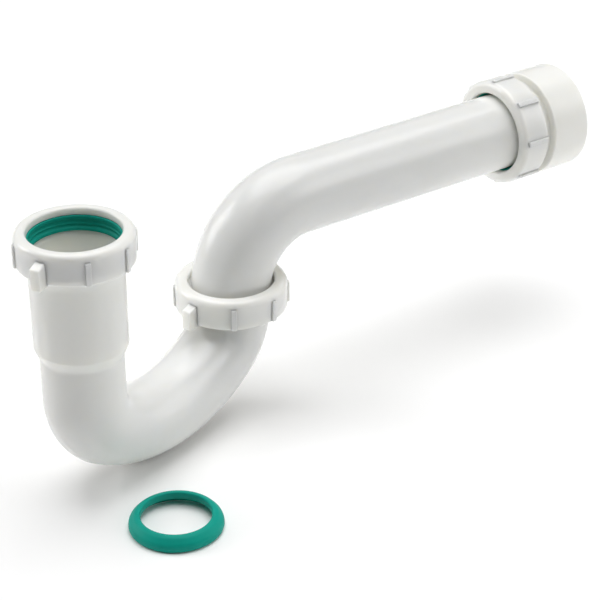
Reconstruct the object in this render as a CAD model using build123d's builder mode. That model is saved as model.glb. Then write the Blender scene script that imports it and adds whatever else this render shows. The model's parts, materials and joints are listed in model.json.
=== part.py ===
from build123d import *
from math import cos, radians, sin
import os

# A tubular plastic sink trap, in millimetres. The origin is on the inlet's axis, at the top of the
# parallel bore of its socket. +Z points up out of the inlet, and the trap arm runs along +X.

# Slip-joint tubing, 1-1/2 inch
TUBE_RADIUS = 38.1 / 2
TUBE_WALL = 1.7
SOCKET_RADIUS = 19.35
MOUTH_RADIUS = 21.6
MOUTH_DEPTH = 6.0

# Slip-joint thread. Its ridge is left out: a mouth has the root's size, and a nut clears the crest
THREAD_ROOT_RADIUS = 22.3
SLIP_THREAD_LENGTH = 13.0
THREAD_RUN_OUT = 1.0
UNION_THREAD_LENGTH = 6.5

# Nuts. The two on the bend have lugs, and the one on the wall fitting is longer and has only ribs
NUT_HEIGHT = 14.2
NUT_LIP = 3.3
NUT_LIP_ROUND = 0.8
NUT_OPENING = 20.4
NUT_BORE_RADIUS = 23.4
NUT_ROUND = 3.0
INLET_NUT_RADIUS = 26.2
UNION_NUT_RADIUS = 27.0
OUTLET_NUT_RADIUS = 26.7
OUTLET_NUT_HEIGHT = 15.1
GRIP_COUNT = 8
GRIP_ROOT_RADIUS = 24.6
GRIP_ROUND = 0.7
RIB_WIDTH = 2.8
RIB_STANDS_OUT = 1.0
LUG_WIDTH = 5.2
LUG_STANDS_OUT = 5.0
LUG_TOP = 3.4
LUG_DROP = 1.2
INLET_GRIP_ANGLE = -153.0
UNION_GRIP_ANGLE = -166.0
OUTLET_GRIP_ANGLE = 5.0

# Seals
SEAL_BORE_RADIUS = 19.2
SEAL_FLANGE = 3.2
SEAL_FLANGE_RADIUS = 22.9
SEAL_TAPER = 3.6
SEAL_SHOULDER_RADIUS = 21.2
SEAL_TIP_RADIUS = 19.7
SEAL_GAP = 0.15
UNION_SEAL = 2.0
UNION_SEAL_BORE_RADIUS = 17.4

# J-bend
BEND_AZIMUTH = 18.5
BEND_SPAN = 106.0
BEND_DEPTH = 32.6
BEND_CORNER_TURN = 58.0
BEND_RADIUS = 18.6
BEND_BORE_RADIUS = 16.9
BEND_START = -69.1
UNION_MOUTH = -65.0
HUB_RADIUS = 20.9
HUB_END = -42.1
HUB_CHAMFER = 5.6
SOCKET_FLOOR = -38.0
SOCKET_TAPER = 4.5

# Trap arm
ARM_FLANGE = 3.5
ARM_FLANGE_RADIUS = 22.6
ELBOW_RADIUS = 38.5
ELBOW_START = 1.2
ARM_STRAIGHT = 121.6
ARM_INSERTION = 15.0

# Trap adapter
HUB_GAP = 5.4
PIPE_HUB_RADIUS = 26.5
PIPE_HUB_LENGTH = 22.0
PIPE_SOCKET_RADIUS = 48.56 / 2
PIPE_SOCKET_DEPTH = 19.8
PIPE_HUB_ROUND = 0.8

# Reducing washer, lying loose on the surface under the bend
REDUCER_PLACE = (16.9, -45.5)
REDUCER_RADIUS = 21.5
REDUCER_CROWN_RADIUS = 18.2
REDUCER_BORE_RADIUS = 15.9
REDUCER_RIM = 3.2
REDUCER_HEIGHT = 6.8
REDUCER_SKIN = 1.9

# Two sizes closer than this are the same
SAME_SIZE = 0.01

# Levels and places that follow from them
nut_stack = SEAL_GAP + SEAL_FLANGE + SEAL_GAP + NUT_LIP
union_stack = UNION_SEAL + ARM_FLANGE + SEAL_GAP + NUT_LIP
bend_direction = Vector(cos(radians(BEND_AZIMUTH)), sin(radians(BEND_AZIMUTH)), 0)
union_axis = bend_direction * BEND_SPAN
flange_bottom = UNION_MOUTH + UNION_SEAL
flange_top = flange_bottom + ARM_FLANGE
arm_height = flange_bottom + ELBOW_START + ELBOW_RADIUS
outlet_nut_front = union_axis.X + ELBOW_RADIUS + ARM_STRAIGHT
adapter_mouth = outlet_nut_front + nut_stack
pipe_hub_front = outlet_nut_front + OUTLET_NUT_HEIGHT + HUB_GAP
pipe_hub_floor = pipe_hub_front + PIPE_HUB_LENGTH - PIPE_SOCKET_DEPTH
arm_end = adapter_mouth + ARM_INSERTION
surface_height = BEND_START - BEND_DEPTH - BEND_RADIUS

# Each threaded mouth has a plane of its own, which faces the way its nut comes off
inlet_mouth = Plane(origin=(0, 0, MOUTH_DEPTH))
union_mouth = Plane(origin=(union_axis.X, union_axis.Y, UNION_MOUTH))
outlet_mouth = Plane(origin=(adapter_mouth, union_axis.Y, arm_height), x_dir=(0, 1, 0), z_dir=(-1, 0, 0))
reducer_base = Plane(origin=(*REDUCER_PLACE, surface_height))


def section_of(mouth):
    """The plane of a turned piece's outline: x is the radius, and y runs out of the mouth."""
    return Plane(origin=mouth.origin, x_dir=mouth.x_dir, z_dir=-mouth.y_dir)


def axis_of(mouth):
    return Axis(mouth.origin, mouth.z_dir)


def circles_of(piece, radius):
    """The round edges of a piece that have this radius."""
    rounds = piece.edges().filter_by(GeomType.CIRCLE)
    return rounds.filter_by(lambda edge: abs(edge.radius - radius) < SAME_SIZE)


def bend_radii():
    """The corner and the bottom radius of a flattened U, with tangent arcs, for its span and depth."""
    turn = radians(BEND_CORNER_TURN)
    half_span = BEND_SPAN / 2
    lean = 1 - cos(turn)
    drop = 1 - sin(turn)
    bottom = (half_span * sin(turn) - BEND_DEPTH * lean) / (cos(turn) * sin(turn) - drop * lean)
    corner = (BEND_DEPTH - bottom * drop) / sin(turn)
    return corner, bottom


def make_j_bend():
    """The U-shaped tube, with the inlet's long slip socket on one end and a threaded seat on the other."""
    corner, bottom = bend_radii()
    upright = Plane(origin=(0, 0, 0), x_dir=bend_direction, z_dir=bend_direction.cross(Vector(0, 0, 1)))
    with BuildPart() as j_bend:
        with BuildLine(upright) as route:
            inlet_leg = Line((0, HUB_END), (0, BEND_START))
            first_corner = JernArc(inlet_leg @ 1, inlet_leg % 1, corner, BEND_CORNER_TURN)
            floor_arc = JernArc(first_corner @ 1, first_corner % 1, bottom, 180 - 2 * BEND_CORNER_TURN)
            second_corner = JernArc(floor_arc @ 1, floor_arc % 1, corner, BEND_CORNER_TURN)
            Line(second_corner @ 1, (BEND_SPAN, UNION_MOUTH))
        with BuildSketch(Plane(origin=(0, 0, HUB_END), z_dir=(0, 0, -1))):
            Circle(BEND_RADIUS)
        sweep(path=route.wires()[0])
        with BuildSketch(section_of(inlet_mouth)):
            with BuildLine():
                Polyline(
                    (0, 0),
                    (THREAD_ROOT_RADIUS, 0),
                    (THREAD_ROOT_RADIUS, -SLIP_THREAD_LENGTH),
                    (HUB_RADIUS, -SLIP_THREAD_LENGTH - THREAD_RUN_OUT),
                    (HUB_RADIUS, HUB_END - MOUTH_DEPTH),
                    (BEND_RADIUS, HUB_END - MOUTH_DEPTH - HUB_CHAMFER),
                    (0, HUB_END - MOUTH_DEPTH - HUB_CHAMFER),
                    close=True,
                )
            make_face()
        revolve(axis=axis_of(inlet_mouth))
        with BuildSketch(union_mouth):
            Circle(THREAD_ROOT_RADIUS)
        extrude(amount=-UNION_THREAD_LENGTH)
        with BuildSketch(Plane(origin=(0, 0, HUB_END), z_dir=(0, 0, -1))):
            Circle(BEND_BORE_RADIUS)
        sweep(path=route.wires()[0], mode=Mode.SUBTRACT)
        with BuildSketch(section_of(inlet_mouth)):
            with BuildLine():
                Polyline(
                    (0, 0),
                    (MOUTH_RADIUS, 0),
                    (SOCKET_RADIUS, -MOUTH_DEPTH),
                    (SOCKET_RADIUS, SOCKET_FLOOR - MOUTH_DEPTH),
                    (BEND_BORE_RADIUS, SOCKET_FLOOR - SOCKET_TAPER - MOUTH_DEPTH),
                    (0, SOCKET_FLOOR - SOCKET_TAPER - MOUTH_DEPTH),
                    close=True,
                )
            make_face()
        revolve(axis=axis_of(inlet_mouth), mode=Mode.SUBTRACT)
    return j_bend.part


def make_slip_washer(mouth):
    """A seal for a slip joint: a flange under the nut's lip, and a taper that wedges into the mouth."""
    top = SEAL_GAP + SEAL_FLANGE
    with BuildPart() as slip_washer:
        with BuildSketch(section_of(mouth)):
            with BuildLine():
                Polyline(
                    (SEAL_BORE_RADIUS, top),
                    (SEAL_FLANGE_RADIUS, top),
                    (SEAL_FLANGE_RADIUS, SEAL_GAP),
                    (SEAL_SHOULDER_RADIUS, SEAL_GAP),
                    (SEAL_TIP_RADIUS, -SEAL_TAPER),
                    (SEAL_BORE_RADIUS, -SEAL_TAPER),
                    close=True,
                )
            make_face()
        revolve(axis=axis_of(mouth))
    return slip_washer.part


def make_nut(mouth, top, height, radius, grip_angle, lugged):
    """A hand-tightened nut: a round-shouldered cap with ribs, two of which may be lugs instead."""
    low = top - height
    lugs = (0, GRIP_COUNT // 2) if lugged else ()
    lug_length = radius + LUG_STANDS_OUT - GRIP_ROOT_RADIUS
    rib_length = radius + RIB_STANDS_OUT - GRIP_ROOT_RADIUS
    with BuildPart() as cap:
        with BuildSketch(section_of(mouth)):
            with BuildLine():
                Polyline(
                    (NUT_OPENING, top - NUT_LIP),
                    (NUT_OPENING, top),
                    (radius, top),
                    (radius, low),
                    (NUT_BORE_RADIUS, low),
                    (NUT_BORE_RADIUS, top - NUT_LIP),
                    close=True,
                )
            make_face()
        revolve(axis=axis_of(mouth))
        fillet(circles_of(cap, radius).sort_by(axis_of(mouth))[-1], NUT_ROUND)
        fillet(circles_of(cap, NUT_OPENING).sort_by(axis_of(mouth))[-1], NUT_LIP_ROUND)
        for place in range(GRIP_COUNT):
            angle = grip_angle + place * 360 / GRIP_COUNT
            if place in lugs:
                with BuildSketch(mouth.offset(low - LUG_DROP)):
                    with PolarLocations(GRIP_ROOT_RADIUS + lug_length / 2, 1, angle):
                        RectangleRounded(lug_length, LUG_WIDTH, GRIP_ROUND)
                extrude(amount=height + LUG_DROP - LUG_TOP)
            else:
                with BuildSketch(mouth.offset(low)):
                    with PolarLocations(GRIP_ROOT_RADIUS + rib_length / 2, 1, angle):
                        RectangleRounded(rib_length, RIB_WIDTH, GRIP_ROUND)
                extrude(amount=height - NUT_ROUND)
    return cap.part


def make_union_washer():
    """The flat gasket between the bend's seat and the flange of the arm."""
    with BuildPart() as union_washer:
        with BuildSketch(union_mouth):
            Circle(ARM_FLANGE_RADIUS)
            Circle(UNION_SEAL_BORE_RADIUS, mode=Mode.SUBTRACT)
        extrude(amount=UNION_SEAL)
    return union_washer.part


def make_trap_arm():
    """The flanged elbow and straight tube that carry the water from the bend to the wall."""
    start = Plane(origin=(union_axis.X, union_axis.Y, flange_bottom))
    with BuildPart() as trap_arm:
        with BuildLine(Plane.XZ.offset(-union_axis.Y)) as route:
            rise = Line((union_axis.X, flange_bottom), (union_axis.X, flange_bottom + ELBOW_START))
            elbow = JernArc(rise @ 1, rise % 1, ELBOW_RADIUS, -90)
            Line(elbow @ 1, (arm_end, arm_height))
        with BuildSketch(start):
            Circle(TUBE_RADIUS)
        sweep(path=route.wires()[0])
        with BuildSketch(start):
            Circle(ARM_FLANGE_RADIUS)
        extrude(amount=ARM_FLANGE)
        with BuildSketch(start):
            Circle(TUBE_RADIUS - TUBE_WALL)
        sweep(path=route.wires()[0], mode=Mode.SUBTRACT)
    return trap_arm.part


def make_trap_adapter():
    """The wall fitting: a threaded slip joint for the arm, a neck, and a hub that takes the waste pipe."""
    hub_front = adapter_mouth - pipe_hub_front
    hub_floor = adapter_mouth - pipe_hub_floor
    hub_end = hub_front - PIPE_HUB_LENGTH
    with BuildPart() as trap_adapter:
        with BuildSketch(section_of(outlet_mouth)):
            with BuildLine():
                Polyline(
                    (MOUTH_RADIUS, 0),
                    (THREAD_ROOT_RADIUS, 0),
                    (THREAD_ROOT_RADIUS, hub_front),
                    (PIPE_HUB_RADIUS, hub_front),
                    (PIPE_HUB_RADIUS, hub_end),
                    (PIPE_SOCKET_RADIUS, hub_end),
                    (PIPE_SOCKET_RADIUS, hub_floor),
                    (SOCKET_RADIUS, hub_floor),
                    (SOCKET_RADIUS, -MOUTH_DEPTH),
                    close=True,
                )
            make_face()
        revolve(axis=axis_of(outlet_mouth))
        fillet(circles_of(trap_adapter, PIPE_HUB_RADIUS), PIPE_HUB_ROUND)
    return trap_adapter.part


def make_reducing_washer():
    """A cone-shaped washer that lets the same nut seal a thinner 1-1/4 inch tube. It is hollow below."""
    with BuildPart() as reducing_washer:
        with BuildSketch(section_of(reducer_base)):
            with BuildLine():
                Polyline(
                    (REDUCER_RADIUS - REDUCER_SKIN, 0),
                    (REDUCER_RADIUS, 0),
                    (REDUCER_RADIUS, REDUCER_RIM),
                    (REDUCER_CROWN_RADIUS, REDUCER_HEIGHT),
                    (REDUCER_BORE_RADIUS, REDUCER_HEIGHT),
                    (REDUCER_BORE_RADIUS, REDUCER_HEIGHT - REDUCER_RIM),
                    (REDUCER_RADIUS - REDUCER_SKIN, REDUCER_RIM / 2),
                    close=True,
                )
            make_face()
        revolve(axis=axis_of(reducer_base))
    return reducing_washer.part


pieces = {
    "j_bend": make_j_bend(),
    "inlet_slip_washer": make_slip_washer(inlet_mouth),
    "inlet_slip_nut": make_nut(
        inlet_mouth, nut_stack, NUT_HEIGHT, INLET_NUT_RADIUS, INLET_GRIP_ANGLE, lugged=True
    ),
    "union_washer": make_union_washer(),
    "union_nut": make_nut(
        union_mouth, union_stack, NUT_HEIGHT, UNION_NUT_RADIUS, UNION_GRIP_ANGLE, lugged=True
    ),
    "trap_arm": make_trap_arm(),
    "outlet_slip_washer": make_slip_washer(outlet_mouth),
    "outlet_slip_nut": make_nut(
        outlet_mouth, nut_stack, OUTLET_NUT_HEIGHT, OUTLET_NUT_RADIUS, OUTLET_GRIP_ANGLE, lugged=False
    ),
    "trap_adapter": make_trap_adapter(),
    "reducing_washer": make_reducing_washer(),
}

os.makedirs("parts", exist_ok=True)
for name, piece in pieces.items():
    piece.label = name
    export_step(piece, f"parts/{name}.step")
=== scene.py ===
import bmesh
import bpy
import json
from math import atan2, cos, pi, radians, sin, tau
from mathutils import Matrix, Vector


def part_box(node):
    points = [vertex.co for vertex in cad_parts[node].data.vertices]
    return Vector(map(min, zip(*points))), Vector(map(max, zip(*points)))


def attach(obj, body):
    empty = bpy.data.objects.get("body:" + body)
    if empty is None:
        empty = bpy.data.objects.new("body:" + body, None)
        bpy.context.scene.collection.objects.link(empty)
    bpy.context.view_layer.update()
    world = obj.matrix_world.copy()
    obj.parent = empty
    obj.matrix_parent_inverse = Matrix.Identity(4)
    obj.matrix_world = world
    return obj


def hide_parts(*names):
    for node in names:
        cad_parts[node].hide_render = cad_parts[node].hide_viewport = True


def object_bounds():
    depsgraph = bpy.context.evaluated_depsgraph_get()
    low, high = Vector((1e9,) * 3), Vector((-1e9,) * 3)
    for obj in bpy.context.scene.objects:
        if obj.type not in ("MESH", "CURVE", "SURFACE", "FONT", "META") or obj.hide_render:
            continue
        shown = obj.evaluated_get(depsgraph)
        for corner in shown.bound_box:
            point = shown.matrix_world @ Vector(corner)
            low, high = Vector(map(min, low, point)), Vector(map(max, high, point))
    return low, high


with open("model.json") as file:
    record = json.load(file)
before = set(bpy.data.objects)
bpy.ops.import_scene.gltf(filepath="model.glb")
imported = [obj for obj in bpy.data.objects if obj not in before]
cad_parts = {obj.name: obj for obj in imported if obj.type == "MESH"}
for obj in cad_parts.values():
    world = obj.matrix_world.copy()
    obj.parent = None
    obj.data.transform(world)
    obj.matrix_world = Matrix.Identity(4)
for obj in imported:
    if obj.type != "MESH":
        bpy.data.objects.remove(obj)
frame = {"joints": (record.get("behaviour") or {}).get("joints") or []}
cad_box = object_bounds()


# The trap is moulded from white polypropylene, injected into polished steel. It is smooth and glossy,
# a little milky where light enters it, and its skin carries the faint ripple of the flow.

MM = 0.001
POLYPROPYLENE_WHITE = "F1F1ED"
POLYPROPYLENE_SHADE = "ECEBE4"
FLOW_MARK_MM = 38.0
ORANGE_PEEL_MM = 1.6
LIGHT_DEPTH_MM = 5.0
PEEL_DEPTH_MM = 0.05


def linear(hex_colour):
    """An sRGB hex colour as the linear RGBA that a shader takes."""
    channels = [int(hex_colour[i:i + 2], 16) / 255 for i in (0, 2, 4)]
    return [c / 12.92 if c <= 0.04045 else ((c + 0.055) / 1.055) ** 2.4 for c in channels] + [1.0]


def add_node(tree, kind, settings=None, links=None):
    """One shader node, with its properties or socket values and what its inputs are joined to."""
    node = tree.nodes.new(kind)
    for key, value in (settings or {}).items():
        if isinstance(key, str) and hasattr(node, key) and key not in node.inputs:
            setattr(node, key, value)
        else:
            node.inputs[key].default_value = value
    for key, source in (links or {}).items():
        tree.links.new(source, node.inputs[key])
    return node


def new_material(name):
    """A material with an empty node tree."""
    material = bpy.data.materials.new(name)
    material.use_nodes = True
    tree = material.node_tree
    tree.nodes.clear()
    return material, tree


def moulded_polypropylene():
    """Glossy white plastic with flow marks in its tint and gloss, and a fine orange peel."""
    material, tree = new_material("injection_moulded_white_polypropylene")
    place = add_node(tree, "ShaderNodeTexCoord").outputs["Object"]
    flow = add_node(
        tree, "ShaderNodeTexNoise",
        {"Scale": 1 / (FLOW_MARK_MM * MM), "Detail": 3.0, "Roughness": 0.55, "Distortion": 0.6},
        {"Vector": place},
    )
    tint = add_node(
        tree, "ShaderNodeMix",
        {"data_type": "RGBA", 6: linear(POLYPROPYLENE_WHITE), 7: linear(POLYPROPYLENE_SHADE)},
        {0: flow.outputs["Fac"]},
    )
    gloss = add_node(
        tree, "ShaderNodeMapRange",
        {"From Min": 0.3, "From Max": 0.7, "To Min": 0.20, "To Max": 0.27},
        {"Value": flow.outputs["Fac"]},
    )
    peel = add_node(
        tree, "ShaderNodeTexNoise",
        {"Scale": 1 / (ORANGE_PEEL_MM * MM), "Detail": 2.0, "Roughness": 0.5},
        {"Vector": place},
    )
    skin = add_node(
        tree, "ShaderNodeBump",
        {"Strength": 0.05, "Distance": PEEL_DEPTH_MM * MM},
        {"Height": peel.outputs["Fac"]},
    )
    surface = add_node(
        tree, "ShaderNodeBsdfPrincipled",
        {
            "IOR": 1.49,
            "Subsurface Weight": 0.75,
            "Subsurface Radius": (1.0, 0.95, 0.85),
            "Subsurface Scale": LIGHT_DEPTH_MM * MM,
        },
        {
            "Base Color": tint.outputs[2],
            "Roughness": gloss.outputs["Result"],
            "Normal": skin.outputs["Normal"],
        },
    )
    add_node(tree, "ShaderNodeOutputMaterial", {}, {"Surface": surface.outputs["BSDF"]})
    return material


polypropylene = moulded_polypropylene()


# The J-bend is one moulding. A long slip hub stands on its inlet, the tube sweeps round the flattened
# U that holds the water seal, and the other end is a short threaded seat for the union.

TUBE_FACETS = 128
BEND_STEPS_PER_TURN = 160
ROUND_FACETS = 5
BEND_RADIUS = 18.6
BEND_BORE = 16.9
BEND_SPAN = 106.0
BEND_DEPTH = 32.6
CORNER_TURN = 58.0
BEND_START = -69.1
HUB_RADIUS = 20.9
HUB_END = -42.1
HUB_CHAMFER = 5.6
SOCKET_RADIUS = 19.35
SOCKET_FLOOR = -38.0
SOCKET_TAPER = 4.5
MOUTH_HEIGHT = 6.0
MOUTH_RADIUS = 21.6
THREAD_ROOT = 22.3
THREAD_CREST = 23.15
THREAD_PITCH = 25.4 / 11.5
THREAD_STEPS = 60
THREAD_SUNK = 0.3
THREAD_HALF_ROOT = 0.40
THREAD_HALF_CREST = 0.15
THREAD_START = 1.2
SLIP_THREAD = 7.4
SLIP_THREAD_BARE = 2.6
THREAD_RUN_OUT = 3.6
UNION_THREAD = 6.5
UNION_THREAD_BARE = 2.2
EDGE_ROUND = 0.3
SUNK = 0.05
SHARP_ANGLE = 40.0


def joint(name):
    """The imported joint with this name."""
    return next(item for item in frame["joints"] if item["name"] == name)


def wire_outline(bm, points, closed):
    """An outline in the XZ plane from (radius, height, corner round) points, in millimetres."""
    verts = [bm.verts.new((radius, 0, height)) for radius, height, _ in points]
    for pair in zip(verts, verts[1:] + (verts[:1] if closed else [])):
        bm.edges.new(pair)
    for size in sorted({corner for _, _, corner in points if corner}):
        corners = [vert for vert, (_, _, corner) in zip(verts, points) if corner == size]
        bmesh.ops.bevel(
            bm, geom=corners, offset=size, offset_type="OFFSET", affect="VERTICES",
            segments=ROUND_FACETS, profile=0.5, material=-1, clamp_overlap=True,
        )


def turned(points, closed=True):
    """A turned piece: its outline spun once round the Z axis."""
    bm = bmesh.new()
    wire_outline(bm, points, closed)
    bmesh.ops.spin(
        bm, geom=bm.verts[:] + bm.edges[:], cent=(0, 0, 0), axis=(0, 0, 1),
        angle=tau, steps=TUBE_FACETS, use_merge=True,
    )
    return bm


def open_rims(bm, height):
    """The open edges that lie at one height."""
    return [
        edge for edge in bm.edges
        if edge.is_boundary and all(abs(vert.co.z - height) < SUNK / 2 for vert in edge.verts)
    ]


def swing(bm, rims, centre, axis, turn):
    """Sweep the open rims of a tube's two walls round a bend, and return them at its far end."""
    geometry = rims + list({vert for edge in rims for vert in edge.verts})
    swept = bmesh.ops.spin(
        bm, geom=geometry, cent=centre, axis=axis, angle=radians(turn),
        steps=round(BEND_STEPS_PER_TURN * turn / 360),
    )
    return [item for item in swept["geom_last"] if isinstance(item, bmesh.types.BMEdge)]


def tube_end(outer, bore, start, mouth):
    """The last straight stretch of a tube, both walls and the rounded mouth, open where it starts."""
    return turned(
        [(outer, start, 0), (outer, mouth, EDGE_ROUND), (bore, mouth, EDGE_ROUND), (bore, start, 0)],
        closed=False,
    )


def joined(*shells):
    """Several shells as one bmesh."""
    whole = bmesh.new()
    for shell in shells:
        part = bpy.data.meshes.new("shell")
        shell.to_mesh(part)
        whole.from_mesh(part)
        bpy.data.meshes.remove(part)
        shell.free()
    return whole


def weld(bm):
    """Join the shells of a tube where their open rims meet."""
    open_verts = {vert for edge in bm.edges if edge.is_boundary for vert in edge.verts}
    bmesh.ops.remove_doubles(bm, verts=list(open_verts), dist=SUNK)
    return bm


def thread_ridge(wall, crest, low, turns):
    """A right-hand screw ridge. Its section is spun up the axis, and each end dips into the wall."""
    root = wall - THREAD_SUNK * (crest - wall)
    half_root = THREAD_HALF_ROOT * THREAD_PITCH
    half_crest = THREAD_HALF_CREST * THREAD_PITCH
    bm = bmesh.new()
    section = [
        bm.verts.new(corner) for corner in (
            (root, 0, low - half_root), (crest, 0, low - half_crest),
            (crest, 0, low + half_crest), (root, 0, low + half_root),
        )
    ]
    face = bm.faces.new(section)
    swept = bmesh.ops.spin(
        bm, geom=[face] + face.edges[:] + section, cent=(0, 0, 0), axis=(0, 0, 1),
        dvec=(0, 0, THREAD_PITCH / THREAD_STEPS), angle=turns * tau, steps=round(turns * THREAD_STEPS),
    )
    ends = section + [item for item in swept["geom_last"] if isinstance(item, bmesh.types.BMVert)]
    for vert in ends:
        flat = Vector((vert.co.x, vert.co.y, 0)).normalized() * root
        vert.co.x = flat.x
        vert.co.y = flat.y
    return bm


def settle(name, bm, place, material):
    """Turn a finished bmesh, in millimetres, into a smooth object where it belongs."""
    bmesh.ops.transform(bm, matrix=Matrix.Scale(MM, 4) @ place, verts=bm.verts[:])
    bmesh.ops.recalc_face_normals(bm, faces=bm.faces[:])
    mesh = bpy.data.meshes.new(name)
    bm.to_mesh(mesh)
    bm.free()
    mesh.shade_smooth()
    mesh.set_sharp_from_angle(angle=radians(SHARP_ANGLE))
    mesh.materials.append(material)
    piece = bpy.data.objects.new(name, mesh)
    bpy.context.scene.collection.objects.link(piece)
    even = piece.modifiers.new("even_shading", "WEIGHTED_NORMAL")
    even.keep_sharp = True
    return piece


union_mouth = Vector(joint("union_nut_turn")["pos_m"]) / MM
bend_heading = atan2(union_mouth.y, union_mouth.x)
corner_turn = radians(CORNER_TURN)
lean = 1 - cos(corner_turn)
drop = 1 - sin(corner_turn)
floor_radius = (BEND_SPAN / 2 * sin(corner_turn) - BEND_DEPTH * lean) / (
    cos(corner_turn) * sin(corner_turn) - drop * lean
)
corner_radius = (BEND_DEPTH - floor_radius * drop) / sin(corner_turn)

bend_shell = turned(
    [
        (BEND_RADIUS, BEND_START, 0),
        (BEND_RADIUS, HUB_END - HUB_CHAMFER, 1.2),
        (HUB_RADIUS, HUB_END, 0.5),
        (HUB_RADIUS, MOUTH_HEIGHT - SLIP_THREAD - THREAD_RUN_OUT, 3.0),
        (THREAD_ROOT, MOUTH_HEIGHT - SLIP_THREAD, 1.0),
        (THREAD_ROOT, MOUTH_HEIGHT, 0.25),
        (MOUTH_RADIUS, MOUTH_HEIGHT, 0.25),
        (SOCKET_RADIUS, 0, 1.0),
        (SOCKET_RADIUS, SOCKET_FLOOR, 0.6),
        (BEND_BORE, SOCKET_FLOOR - SOCKET_TAPER, 1.0),
        (BEND_BORE, BEND_START, 0),
    ],
    closed=False,
)
rims = open_rims(bend_shell, BEND_START)
rims = swing(bend_shell, rims, (corner_radius, 0, BEND_START), (0, -1, 0), CORNER_TURN)
floor_centre = (BEND_SPAN / 2, 0, BEND_START - BEND_DEPTH + floor_radius)
rims = swing(bend_shell, rims, floor_centre, (0, -1, 0), 180 - 2 * CORNER_TURN)
swing(bend_shell, rims, (BEND_SPAN - corner_radius, 0, BEND_START), (0, -1, 0), CORNER_TURN)
bend_end = tube_end(BEND_RADIUS, BEND_BORE, BEND_START, union_mouth.z - SUNK)
seat_wall = (BEND_RADIUS + BEND_BORE) / 2
seat = turned(
    [
        (seat_wall, union_mouth.z - UNION_THREAD, 0),
        (THREAD_ROOT, union_mouth.z - UNION_THREAD, 0.5),
        (THREAD_ROOT, union_mouth.z, EDGE_ROUND),
        (seat_wall, union_mouth.z, EDGE_ROUND),
    ]
)
seat_turns = (UNION_THREAD - UNION_THREAD_BARE) / THREAD_PITCH
seat_low = union_mouth.z - UNION_THREAD + THREAD_START
seat_thread = thread_ridge(THREAD_ROOT, THREAD_CREST, seat_low, seat_turns)
for shell in (bend_end, seat, seat_thread):
    bmesh.ops.translate(shell, verts=shell.verts[:], vec=(BEND_SPAN, 0, 0))
slip_turns = (SLIP_THREAD - SLIP_THREAD_BARE) / THREAD_PITCH
slip_low = MOUTH_HEIGHT - SLIP_THREAD + THREAD_START
slip_thread = thread_ridge(THREAD_ROOT, THREAD_CREST, slip_low, slip_turns)
bend = settle(
    "moulded_j_bend",
    joined(weld(joined(bend_shell, bend_end)), seat, seat_thread, slip_thread),
    Matrix.Rotation(bend_heading, 4, "Z"),
    polypropylene,
)
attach(bend, "bend")
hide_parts("j_bend")


# The trap arm is drawn from the same plastic: a loose flange that the union nut pulls down on its
# gasket, a tight elbow, and a straight 38 mm tube that slides into the wall fitting.

TUBE_RADIUS = 38.1 / 2
TUBE_BORE = TUBE_RADIUS - 1.7
ELBOW_RADIUS = 38.5
ELBOW_RISE = 1.2
ARM_FLANGE = 3.5
ARM_FLANGE_RADIUS = 22.6
UNION_SEAL = 2.0

arm_foot = union_mouth.z + UNION_SEAL
arm_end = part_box("trap_arm")[1].x / MM
elbow_end = Vector((ELBOW_RADIUS, 0, ELBOW_RISE + ELBOW_RADIUS))
arm_shell = tube_end(TUBE_RADIUS, TUBE_BORE, ELBOW_RISE, SUNK)
swing(arm_shell, open_rims(arm_shell, ELBOW_RISE), (ELBOW_RADIUS, 0, ELBOW_RISE), (0, 1, 0), 90)
arm_run = tube_end(TUBE_RADIUS, TUBE_BORE, 0, arm_end - union_mouth.x - ELBOW_RADIUS)
along_x = Matrix.Translation(elbow_end) @ Matrix.Rotation(pi / 2, 4, "Y")
bmesh.ops.transform(arm_run, matrix=along_x, verts=arm_run.verts[:])
arm_wall = (TUBE_RADIUS + TUBE_BORE) / 2
flange = turned(
    [
        (arm_wall, 0, EDGE_ROUND),
        (ARM_FLANGE_RADIUS, 0, EDGE_ROUND),
        (ARM_FLANGE_RADIUS, ARM_FLANGE, 0.6),
        (arm_wall, ARM_FLANGE, 0),
    ]
)
arm = settle(
    "trap_arm_tube",
    joined(weld(joined(arm_shell, arm_run)), flange),
    Matrix.Translation((union_mouth.x, union_mouth.y, arm_foot)),
    polypropylene,
)
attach(arm, "arm")
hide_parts("trap_arm")


# The wall adapter takes the arm in a threaded slip joint. Behind its neck stands a plain hub, into
# which the waste pipe is glued. It is moulded in one, like the bend.

PIPE_HUB_RADIUS = 26.5
PIPE_HUB_LENGTH = 22.0
PIPE_SOCKET_RADIUS = 48.56 / 2
PIPE_SOCKET_DEPTH = 19.8

outlet_mouth = Vector(joint("outlet_nut_turn")["pos_m"]) / MM
at_outlet = Matrix.Translation(outlet_mouth) @ Matrix.Rotation(-pi / 2, 4, "Y")
hub_end = outlet_mouth.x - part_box("trap_adapter")[1].x / MM
hub_front = hub_end + PIPE_HUB_LENGTH
hub_floor = hub_end + PIPE_SOCKET_DEPTH
adapter_shell = turned(
    [
        (MOUTH_RADIUS, 0, 0.25),
        (THREAD_ROOT, 0, 0.25),
        (THREAD_ROOT, hub_front, 0.8),
        (PIPE_HUB_RADIUS, hub_front, 0.7),
        (PIPE_HUB_RADIUS, hub_end, 1.1),
        (PIPE_SOCKET_RADIUS, hub_end, 0.7),
        (PIPE_SOCKET_RADIUS, hub_floor, 0.4),
        (SOCKET_RADIUS, hub_floor, 0.5),
        (SOCKET_RADIUS, -MOUTH_HEIGHT, 1.0),
    ]
)
adapter_thread = thread_ridge(THREAD_ROOT, THREAD_CREST, THREAD_START - SLIP_THREAD, slip_turns)
adapter = settle(
    "wall_adapter",
    joined(adapter_shell, adapter_thread),
    at_outlet,
    polypropylene,
)
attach(adapter, "adapter")
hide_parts("trap_adapter")


# Three hand-tightened nuts: a thick round lip, a plain skirt, and slim ribs for the fingers. The two
# on the bend also have a pair of lugs for pliers. The screw thread is moulded inside the skirt.

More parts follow.
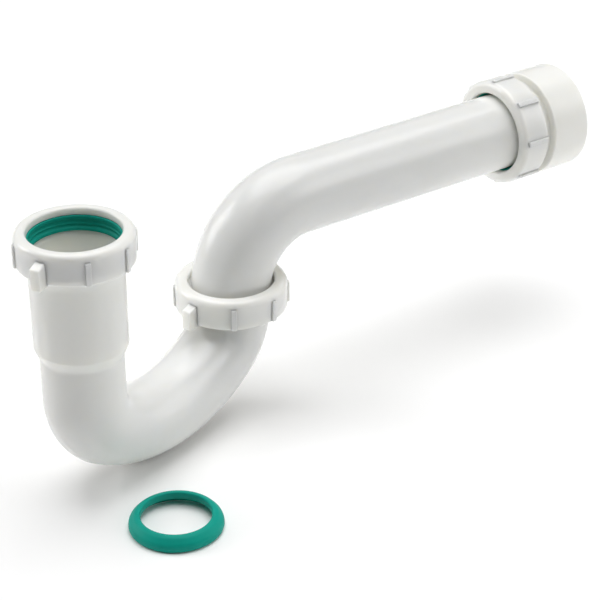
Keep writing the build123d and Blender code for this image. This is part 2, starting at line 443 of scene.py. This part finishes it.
INLET_NUT_RADIUS = 26.2
UNION_NUT_RADIUS = 27.0
OUTLET_NUT_RADIUS = 26.7
INLET_GRIP_ANGLE = -153.0
UNION_GRIP_ANGLE = -166.0
OUTLET_GRIP_ANGLE = 95.0
NUT_HEIGHT = 14.2
LONG_NUT_HEIGHT = 15.1
NUT_LIP = 3.3
NUT_OPENING = 20.4
NUT_FUNNEL = 0.4
NUT_SHOULDER = 2.9
NUT_DRAFT = 0.25
NUT_BORE = 24.3
NUT_THREAD_CREST = 23.45
NUT_THREAD_START = 1.6
NUT_THREAD_BARE = 4.0
GRIP_ROOT = 24.9
GRIP_COUNT = 8
RIB_WIDTH = 2.6
RIB_STANDS_OUT = 0.9
RIB_TOP = 3.0
LONG_RIB_TOP = 1.9
RIB_SLOPE = 0.5
RIB_ROUND = 0.45
RIB_FOOT = 0.1
LUG_WIDTH = 5.0
LUG_STANDS_OUT = 4.9
LUG_TOP = 3.5
LUG_SLOPE = 1.9
LUG_DROP = 1.2
LUG_ROUND = 0.7


def grip(width, radius, high, low, slope, rounding, angle):
    """A block that stands out of the nut's skirt, with a top that falls away outwards."""
    bm = bmesh.new()
    bmesh.ops.create_cube(bm, size=1.0)
    bmesh.ops.scale(bm, verts=bm.verts[:], vec=(radius - GRIP_ROOT, width, high - low))
    bmesh.ops.translate(bm, verts=bm.verts[:], vec=((radius + GRIP_ROOT) / 2, 0, (high + low) / 2))
    proud = [vert for vert in bm.verts if vert.co.x > GRIP_ROOT + SUNK]
    outer_top = [vert for vert in proud if vert.co.z > low + SUNK]
    bmesh.ops.translate(bm, verts=outer_top, vec=(0, 0, -slope))
    bmesh.ops.bevel(
        bm, geom=list({edge for vert in proud for edge in vert.link_edges}), offset=rounding,
        offset_type="OFFSET", affect="EDGES", segments=ROUND_FACETS, profile=0.5, material=-1,
        clamp_overlap=True,
    )
    turn = Matrix.Rotation(radians(angle), 3, "Z")
    bmesh.ops.rotate(bm, verts=bm.verts[:], cent=(0, 0, 0), matrix=turn)
    return bm


def slip_nut(top, height, radius, grip_angle, lugged):
    """A nut whose top stands this far above its mouth, with its grips counted from an angle to X."""
    low = top - height
    rib_top = RIB_TOP if lugged else LONG_RIB_TOP
    cap = turned(
        [
            (NUT_OPENING, top - NUT_LIP, 0.3),
            (NUT_OPENING + NUT_FUNNEL, top, 1.0),
            (radius, top, NUT_SHOULDER),
            (radius - NUT_DRAFT, low, 0.6),
            (NUT_BORE, low, 0.6),
            (NUT_BORE, top - NUT_LIP, 0.6),
        ]
    )
    shells = [cap]
    for place in range(GRIP_COUNT):
        angle = grip_angle + place * 360 / GRIP_COUNT
        if lugged and place in (0, GRIP_COUNT // 2):
            lug_end = radius + LUG_STANDS_OUT
            shells.append(grip(
                LUG_WIDTH, lug_end, top - LUG_TOP, low - LUG_DROP, LUG_SLOPE, LUG_ROUND, angle,
            ))
        else:
            rib_end = radius + RIB_STANDS_OUT
            shells.append(grip(
                RIB_WIDTH, rib_end, top - rib_top, low + RIB_FOOT, RIB_SLOPE, RIB_ROUND, angle,
            ))
    turns = (height - NUT_LIP - NUT_THREAD_BARE) / THREAD_PITCH
    shells.append(thread_ridge(NUT_BORE, NUT_THREAD_CREST, low + NUT_THREAD_START, turns))
    return joined(*shells)


SEAL_GAP = 0.15
SEAL_FLANGE = 3.2
slip_top = SEAL_GAP + SEAL_FLANGE + SEAL_GAP + NUT_LIP
union_top = UNION_SEAL + ARM_FLANGE + SEAL_GAP + NUT_LIP
nuts = {
    "inlet_slip_nut": (
        "inlet_nut",
        slip_nut(slip_top, NUT_HEIGHT, INLET_NUT_RADIUS, INLET_GRIP_ANGLE, lugged=True),
        Matrix.Translation((0, 0, MOUTH_HEIGHT)),
    ),
    "union_nut": (
        "union_nut",
        slip_nut(union_top, NUT_HEIGHT, UNION_NUT_RADIUS, UNION_GRIP_ANGLE, lugged=True),
        Matrix.Translation(union_mouth),
    ),
    "outlet_slip_nut": (
        "outlet_nut",
        slip_nut(slip_top, LONG_NUT_HEIGHT, OUTLET_NUT_RADIUS, OUTLET_GRIP_ANGLE, lugged=False),
        at_outlet,
    ),
}
for node, (body, shell, place) in nuts.items():
    nut = settle(f"moulded_{node}", shell, place, polypropylene)
    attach(nut, body)
    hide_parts(node)


# The seals are moulded from a soft green elastomer. It is satin rather than glossy, a little uneven
# in tint, and has the fine dusty grain of a mould that was blasted, not polished.

ELASTOMER_GREEN = "00A291"
ELASTOMER_DEEP = "009484"
TINT_CLOUD_MM = 12.0
BLAST_GRAIN_MM = 0.35
GRAIN_DEPTH_MM = 0.03
SEAL_BORE = 19.3
SEAL_BAND = 19.9
SEAL_GROOVE = 20.3
SEAL_FLANGE_RADIUS = 22.9
SEAL_TAPER = 3.6
SEAL_SHOULDER = 21.2
SEAL_TIP = 19.7
UNION_SEAL_BORE = 17.4


def moulded_elastomer():
    """Satin green rubber with a cloudy tint and a blasted grain."""
    material, tree = new_material("moulded_green_elastomer")
    place = add_node(tree, "ShaderNodeTexCoord").outputs["Object"]
    cloud = add_node(
        tree, "ShaderNodeTexNoise",
        {"Scale": 1 / (TINT_CLOUD_MM * MM), "Detail": 3.0, "Roughness": 0.6},
        {"Vector": place},
    )
    tint = add_node(
        tree, "ShaderNodeMix",
        {"data_type": "RGBA", 6: linear(ELASTOMER_GREEN), 7: linear(ELASTOMER_DEEP)},
        {0: cloud.outputs["Fac"]},
    )
    grain = add_node(
        tree, "ShaderNodeTexNoise",
        {"Scale": 1 / (BLAST_GRAIN_MM * MM), "Detail": 3.0, "Roughness": 0.65},
        {"Vector": place},
    )
    satin = add_node(
        tree, "ShaderNodeMapRange",
        {"From Min": 0.3, "From Max": 0.7, "To Min": 0.48, "To Max": 0.62},
        {"Value": grain.outputs["Fac"]},
    )
    skin = add_node(
        tree, "ShaderNodeBump",
        {"Strength": 0.12, "Distance": GRAIN_DEPTH_MM * MM},
        {"Height": grain.outputs["Fac"]},
    )
    surface = add_node(
        tree, "ShaderNodeBsdfPrincipled",
        {"IOR": 1.45, "Specular IOR Level": 0.2},
        {
            "Base Color": tint.outputs[2],
            "Roughness": satin.outputs["Result"],
            "Normal": skin.outputs["Normal"],
        },
    )
    add_node(tree, "ShaderNodeOutputMaterial", {}, {"Surface": surface.outputs["BSDF"]})
    return material


elastomer = moulded_elastomer()


def slip_seal():
    """A flange that the nut squeezes, a taper that wedges into the mouth, and ribs that grip the tube."""
    top = SEAL_GAP + SEAL_FLANGE
    return turned(
        [
            (SEAL_BAND, top, 0.5),
            (SEAL_FLANGE_RADIUS, top, 0.4),
            (SEAL_FLANGE_RADIUS, SEAL_GAP, 0.3),
            (SEAL_SHOULDER, SEAL_GAP, 0.2),
            (SEAL_TIP, -SEAL_TAPER, 0.15),
            (SEAL_BORE, -SEAL_TAPER, 0.2),
            (SEAL_BORE, -2.3, 0.4),
            (SEAL_GROOVE, -1.5, 0.3),
            (SEAL_GROOVE, -0.9, 0.3),
            (SEAL_BAND, -0.5, 0.15),
            (SEAL_BAND, -0.2, 0.15),
            (SEAL_GROOVE, 0.2, 0.3),
            (SEAL_GROOVE, 1.4, 0.3),
            (SEAL_BAND, 1.7, 0.3),
        ]
    )


slip_seals = {
    "inlet": ("inlet_slip_washer", "inlet_seal", Matrix.Translation((0, 0, MOUTH_HEIGHT))),
    "outlet": ("outlet_slip_washer", "outlet_seal", at_outlet),
}
for place, (node, body, matrix) in slip_seals.items():
    seal = settle(f"{place}_seal", slip_seal(), matrix, elastomer)
    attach(seal, body)
    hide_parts(node)

gasket = settle(
    "union_gasket",
    turned(
        [
            (UNION_SEAL_BORE, 0, 0.3),
            (ARM_FLANGE_RADIUS, 0, 0.3),
            (ARM_FLANGE_RADIUS, UNION_SEAL, 0.3),
            (UNION_SEAL_BORE, UNION_SEAL, 0.3),
        ]
    ),
    Matrix.Translation(union_mouth),
    elastomer,
)
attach(gasket, "union_seal")
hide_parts("union_washer")


# The reducing washer lies loose beside the bend, wide end down. It is a hollow cone of the same
# elastomer that lets the inlet nut seal a thinner tube.

REDUCER_RADIUS = 21.5
REDUCER_CROWN = 18.2
REDUCER_BORE = 15.9
REDUCER_RIM = 3.2
REDUCER_HEIGHT = 6.8
REDUCER_SKIN = 1.9
REDUCER_TOE = 0.5

reducer_low, reducer_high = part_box("reducing_washer")
reducer_base = Vector(
    ((reducer_low.x + reducer_high.x) / 2, (reducer_low.y + reducer_high.y) / 2, reducer_low.z)
) / MM
reducer = settle(
    "loose_reducing_washer",
    turned(
        [
            (REDUCER_RADIUS - REDUCER_SKIN, 0, 0.4),
            (REDUCER_RADIUS - REDUCER_TOE, 0, 1.2),
            (REDUCER_RADIUS, REDUCER_RIM, 1.8),
            (REDUCER_CROWN, REDUCER_HEIGHT, 1.3),
            (REDUCER_BORE, REDUCER_HEIGHT, 0.7),
            (REDUCER_BORE, REDUCER_HEIGHT - REDUCER_RIM, 0.4),
            (REDUCER_RADIUS - REDUCER_SKIN, REDUCER_RIM / 2, 0.5),
        ]
    ),
    Matrix.Translation(reducer_base),
    elastomer,
)
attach(reducer, "reducer")
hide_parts("reducing_washer")


# The stage is a white floor under a large overhead soft box, with weaker boxes in front and at the
# sides. The camera looks down on the trap from the inlet's side.

FLOOR_WHITE = "FCFCFC"
FLOOR_HALF = 6.0
FLOOR_GAP = 0.0002
FLOOR_CENTRE_X = 0.1
VIEW_POINT = Vector((-0.36047, -0.67022, 0.39055))
VIEW_AIM = Vector((0.12650, 0.01354, -0.06804))
VIEW_ROLL = -0.31
VIEW_LENS = 120.0
SENSOR_WIDTH = 36.0
NEAREST_SEEN = 0.01
FARTHEST_SEEN = 50.0
SKY_STRENGTH = 0.04
SOFT_BOXES = (
    # name, place and aim from the middle of the trap, width, height, power
    ("overhead", (0.25, 0.35, 2.1), (0, 0, 0), 2.2, 2.0, 48),
    ("front_top", (-0.55, -0.75, 2.0), (0, 0, 0), 1.0, 0.8, 3),
    ("arm_fill", (0.45, -0.6, 0.55), (0.1, 0, 0.05), 0.5, 0.4, 1.3),
    ("left_bank", (-1.3, 1.6, 0.9), (0, 0, 0), 1.0, 1.5, 22),
    ("right_bank", (1.9, -0.8, 0.6), (0, 0, 0), 1.0, 1.5, 10),
)


def floor_paper():
    """Matt white paper for the floor."""
    material, tree = new_material("white_paper_sweep")
    surface = add_node(
        tree, "ShaderNodeBsdfPrincipled",
        {"Base Color": linear(FLOOR_WHITE), "Roughness": 0.9, "Specular IOR Level": 0.1},
    )
    add_node(tree, "ShaderNodeOutputMaterial", {}, {"Surface": surface.outputs["BSDF"]})
    return material


floor_bm = bmesh.new()
bmesh.ops.create_grid(floor_bm, x_segments=1, y_segments=1, size=FLOOR_HALF)
floor_mesh = bpy.data.meshes.new("floor")
floor_bm.to_mesh(floor_mesh)
floor_bm.free()
floor_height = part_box("reducing_washer")[0].z - FLOOR_GAP
floor_mesh.transform(Matrix.Translation((FLOOR_CENTRE_X, 0, floor_height)))
floor_mesh.materials.append(floor_paper())
floor = bpy.data.objects.new("floor", floor_mesh)
bpy.context.scene.collection.objects.link(floor)


def look(obj, point, aim, roll=0.0):
    """Stand an object at a point, with its -Z towards the aim and its top turned by the roll."""
    turn = (aim - point).to_track_quat("-Z", "Y").to_matrix().to_4x4()
    obj.matrix_world = Matrix.Translation(point) @ turn @ Matrix.Rotation(radians(roll), 4, "Z")


def soft_box(name, point, aim, width, height, power):
    """A rectangular area light at a point, facing the aim."""
    light = bpy.data.lights.new(name, "AREA")
    light.shape = "RECTANGLE"
    light.size = width
    light.size_y = height
    light.energy = power
    box = bpy.data.objects.new(name, light)
    bpy.context.scene.collection.objects.link(box)
    look(box, point, aim)


middle = (cad_box[0] + cad_box[1]) / 2
for name, place, aim, width, height, power in SOFT_BOXES:
    soft_box(name, middle + Vector(place), middle + Vector(aim), width, height, power)

camera_data = bpy.data.cameras.new("catalogue_view")
camera_data.lens = VIEW_LENS
camera_data.sensor_width = SENSOR_WIDTH
camera_data.clip_start = NEAREST_SEEN
camera_data.clip_end = FARTHEST_SEEN
camera = bpy.data.objects.new("catalogue_view", camera_data)
bpy.context.scene.collection.objects.link(camera)
look(camera, VIEW_POINT, VIEW_AIM, VIEW_ROLL)
bpy.context.scene.camera = camera

world = bpy.data.worlds.new("white_studio")
world.use_nodes = True
world.node_tree.nodes.clear()
sky = add_node(
    world.node_tree, "ShaderNodeBackground", {"Color": linear("FFFFFF"), "Strength": SKY_STRENGTH},
)
add_node(world.node_tree, "ShaderNodeOutputWorld", {}, {"Surface": sky.outputs["Background"]})
bpy.context.scene.world = world
bpy.context.scene.view_settings.view_transform = "Standard"
